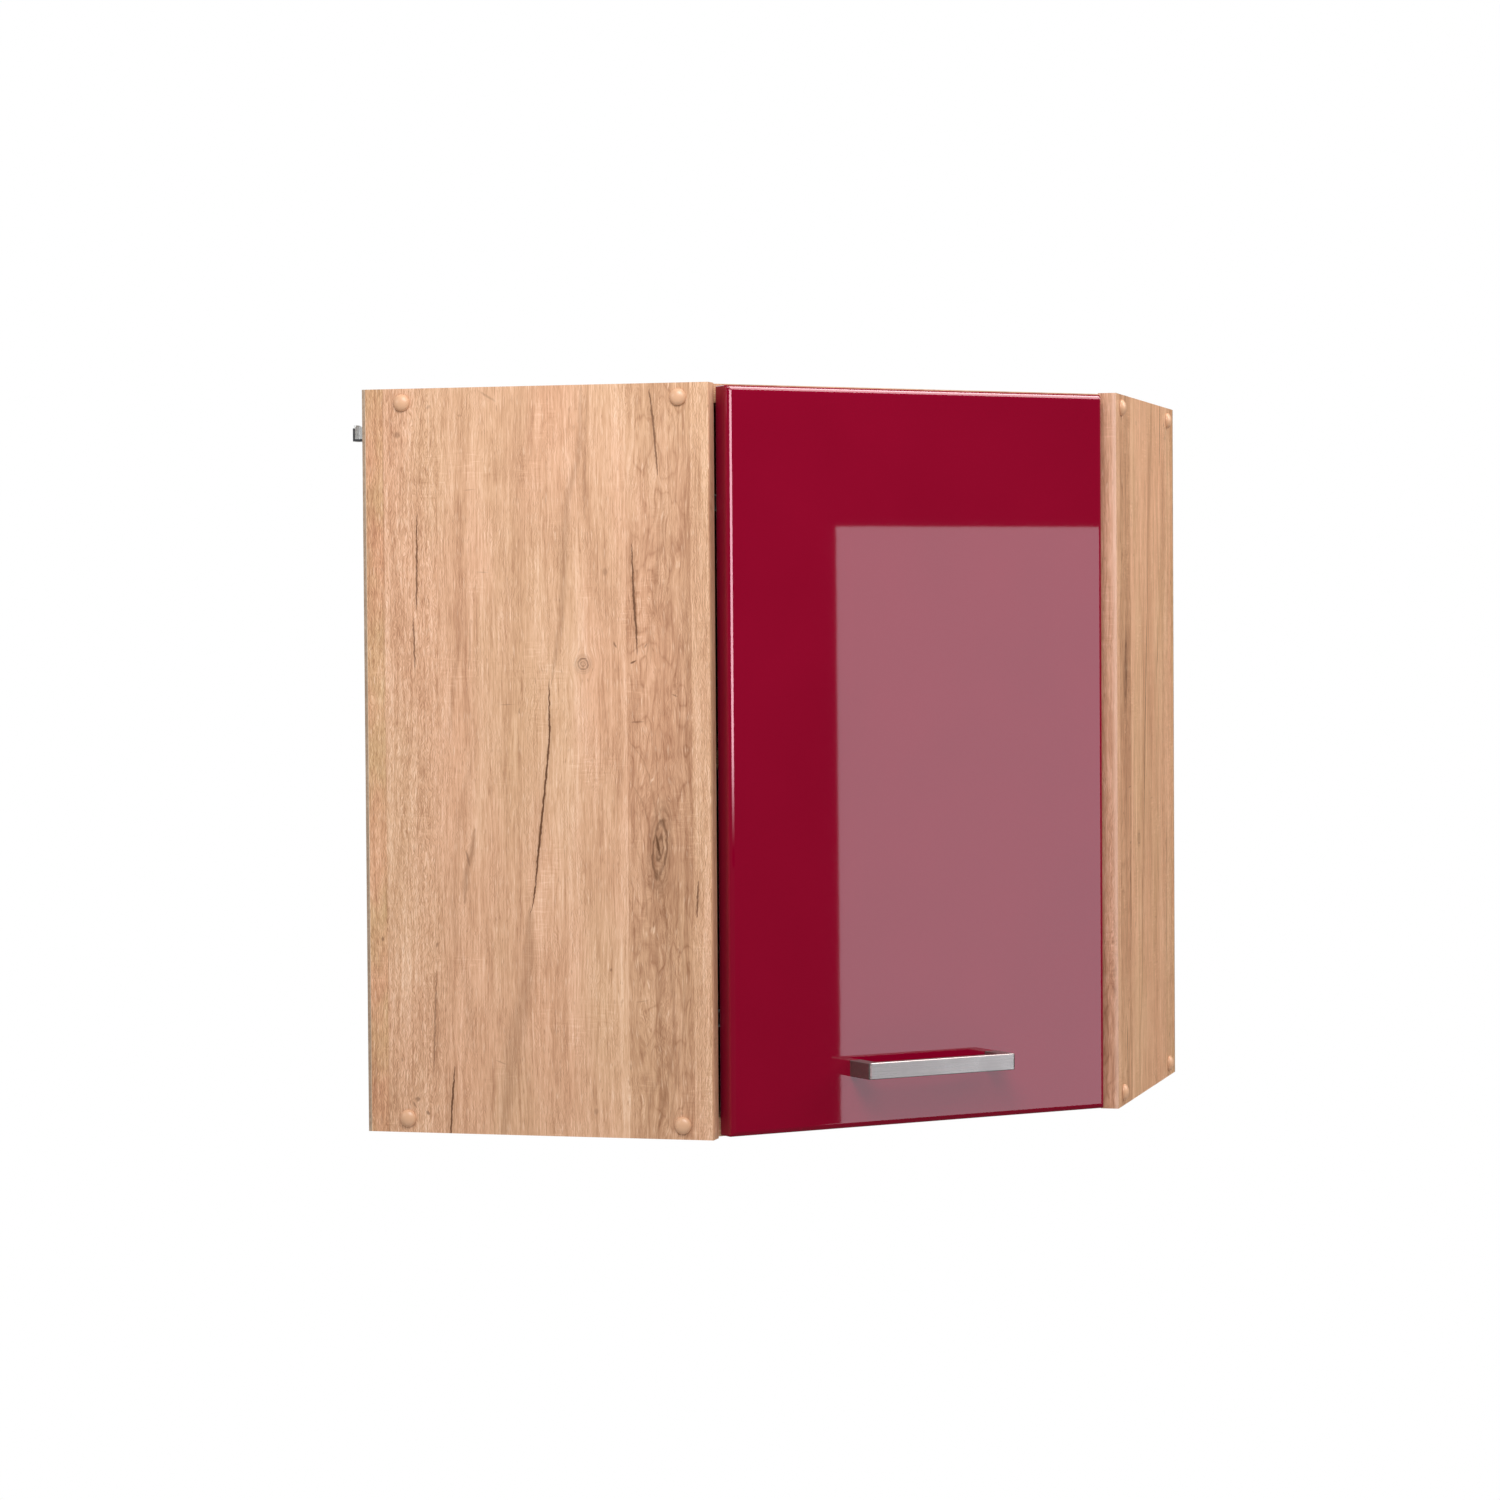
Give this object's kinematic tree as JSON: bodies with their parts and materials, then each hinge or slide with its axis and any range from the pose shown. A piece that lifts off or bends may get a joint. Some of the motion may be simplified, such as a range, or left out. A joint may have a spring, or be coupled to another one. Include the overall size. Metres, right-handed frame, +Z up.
{
  "type": "corner wall cabinet",
  "caption": "Corner wall cabinet with wood-decor sides, a diagonal gloss door on concealed hinges, a bow handle, a shelf and wall hangers.",
  "frame": {"origin": "the vertical line where the two walls meet, level with the cabinet underside", "axes": "+Z up, +Y into the rear wall, -X into the left wall; the door faces diagonally, towards +X and -Y"},
  "size_m": [0.6208, 0.6208, 0.636],
  "materials": {
    "oak_decor": "printed light oak decor on particle board, fine vertical grain, satin",
    "edge_band": "plastic edge band printed to match the oak decor, satin",
    "cap_plastic": "moulded plastic in the decor colour, soft gloss",
    "hardboard": "thin hardboard, matt grey-brown",
    "plain_pine": "planed softwood, matt",
    "beech": "grooved beech, matt",
    "door_gloss": "fibreboard wrapped in high-gloss burgundy foil",
    "clear_buffer": "clear soft buffer",
    "brushed_handle": "satin brushed light metal",
    "zinc_steel": "zinc-plated steel",
    "nickel_steel": "nickel-plated pressed steel",
    "bright_steel": "bright drawn steel",
    "zinc_cast": "die-cast zinc, dull",
    "hanger_plastic": "white moulded plastic"
  },
  "bodies": {
    "carcass": {"back_corner_post": "plain_pine", "back_panel_left": "hardboard", "back_panel_nails": "zinc_steel", "back_panel_right": "hardboard", "bottom_panel": "oak_decor", "carcass_screws": "zinc_steel", "edge_band_left": "edge_band", "edge_band_right": "edge_band", "edge_band_shelf": "edge_band", "edge_bands_diagonal": "edge_band", "hanger_fixing_screws": "zinc_steel", "hanger_height_screws": "zinc_steel", "hanger_housing_left": "hanger_plastic", "hanger_housing_right": "hanger_plastic", "hinge_adjusting_screws": "zinc_steel", "hinge_arm_lower": "nickel_steel", "hinge_arm_pins": "bright_steel", "hinge_arm_upper": "nickel_steel", "mounting_plate_lower": "nickel_steel", "mounting_plate_screws": "nickel_steel", "mounting_plate_upper": "nickel_steel", "screw_caps_left": "cap_plastic", "screw_caps_right": "cap_plastic", "shelf": "oak_decor", "shelf_pins": "nickel_steel", "side_panel_left": "oak_decor", "side_panel_right": "oak_decor", "top_panel": "oak_decor", "wood_dowels": "beech"},
    "hinge_outer_links": {"hinge_outer_link_lower": "nickel_steel", "hinge_outer_link_upper": "nickel_steel"},
    "hinge_inner_links": {"hinge_inner_link_lower": "nickel_steel", "hinge_inner_link_upper": "nickel_steel"},
    "door": {"door_panel": "door_gloss", "door_bumpers": "clear_buffer", "handle": "brushed_handle", "handle_screws": "zinc_steel", "hinge_cup_lower": "nickel_steel", "hinge_cup_upper": "nickel_steel", "hinge_cup_pins": "bright_steel", "hinge_cup_screws": "nickel_steel"},
    "hanger_left_carriage": {"hanger_carriage_left": "zinc_cast", "hanger_depth_screw_left": "zinc_steel"},
    "hanger_left_hook": {"hanger_hook_left": "zinc_steel"},
    "hanger_right_carriage": {"hanger_carriage_right": "zinc_cast", "hanger_depth_screw_right": "zinc_steel"},
    "hanger_right_hook": {"hanger_hook_right": "zinc_steel"}
  },
  "joints": [
    {"name": "door_swing", "type": "hinge", "parent": "hinge_outer_links", "child": "door", "pos_m": [0.32142, -0.57739, 0.318], "axis": [0, 0, -1], "range_deg": [0, 87.4]},
    {"name": "outer_link_turn", "type": "hinge", "parent": "carcass", "child": "hinge_outer_links", "pos_m": [0.31703, -0.55236, 0.318], "axis": [0, 0, -1], "range_deg": [0, 7.61]},
    {"name": "inner_link_turn", "type": "hinge", "parent": "carcass", "child": "hinge_inner_links", "pos_m": [0.32927, -0.54394, 0.318], "axis": [0, 0, -1], "range_deg": [-12.36, 0]},
    {"name": "hanger_left_height", "type": "slide", "parent": "carcass", "child": "hanger_left_carriage", "axis": [0, 0, 1], "range_m": [-0.0035, 0.0035]},
    {"name": "hanger_left_depth", "type": "slide", "parent": "hanger_left_carriage", "child": "hanger_left_hook", "axis": [-1, 0, 0], "range_m": [-0.008, 0.003]},
    {"name": "hanger_right_height", "type": "slide", "parent": "carcass", "child": "hanger_right_carriage", "axis": [0, 0, 1], "range_m": [-0.0035, 0.0035]},
    {"name": "hanger_right_depth", "type": "slide", "parent": "hanger_right_carriage", "child": "hanger_right_hook", "axis": [0, 1, 0], "range_m": [-0.008, 0.003]}
  ],
  "couplings": [
    {"joint": "outer_link_turn", "follows": "door_swing", "ratio": 0.086957},
    {"joint": "inner_link_turn", "follows": "door_swing", "ratio": -0.1413}
  ]
}
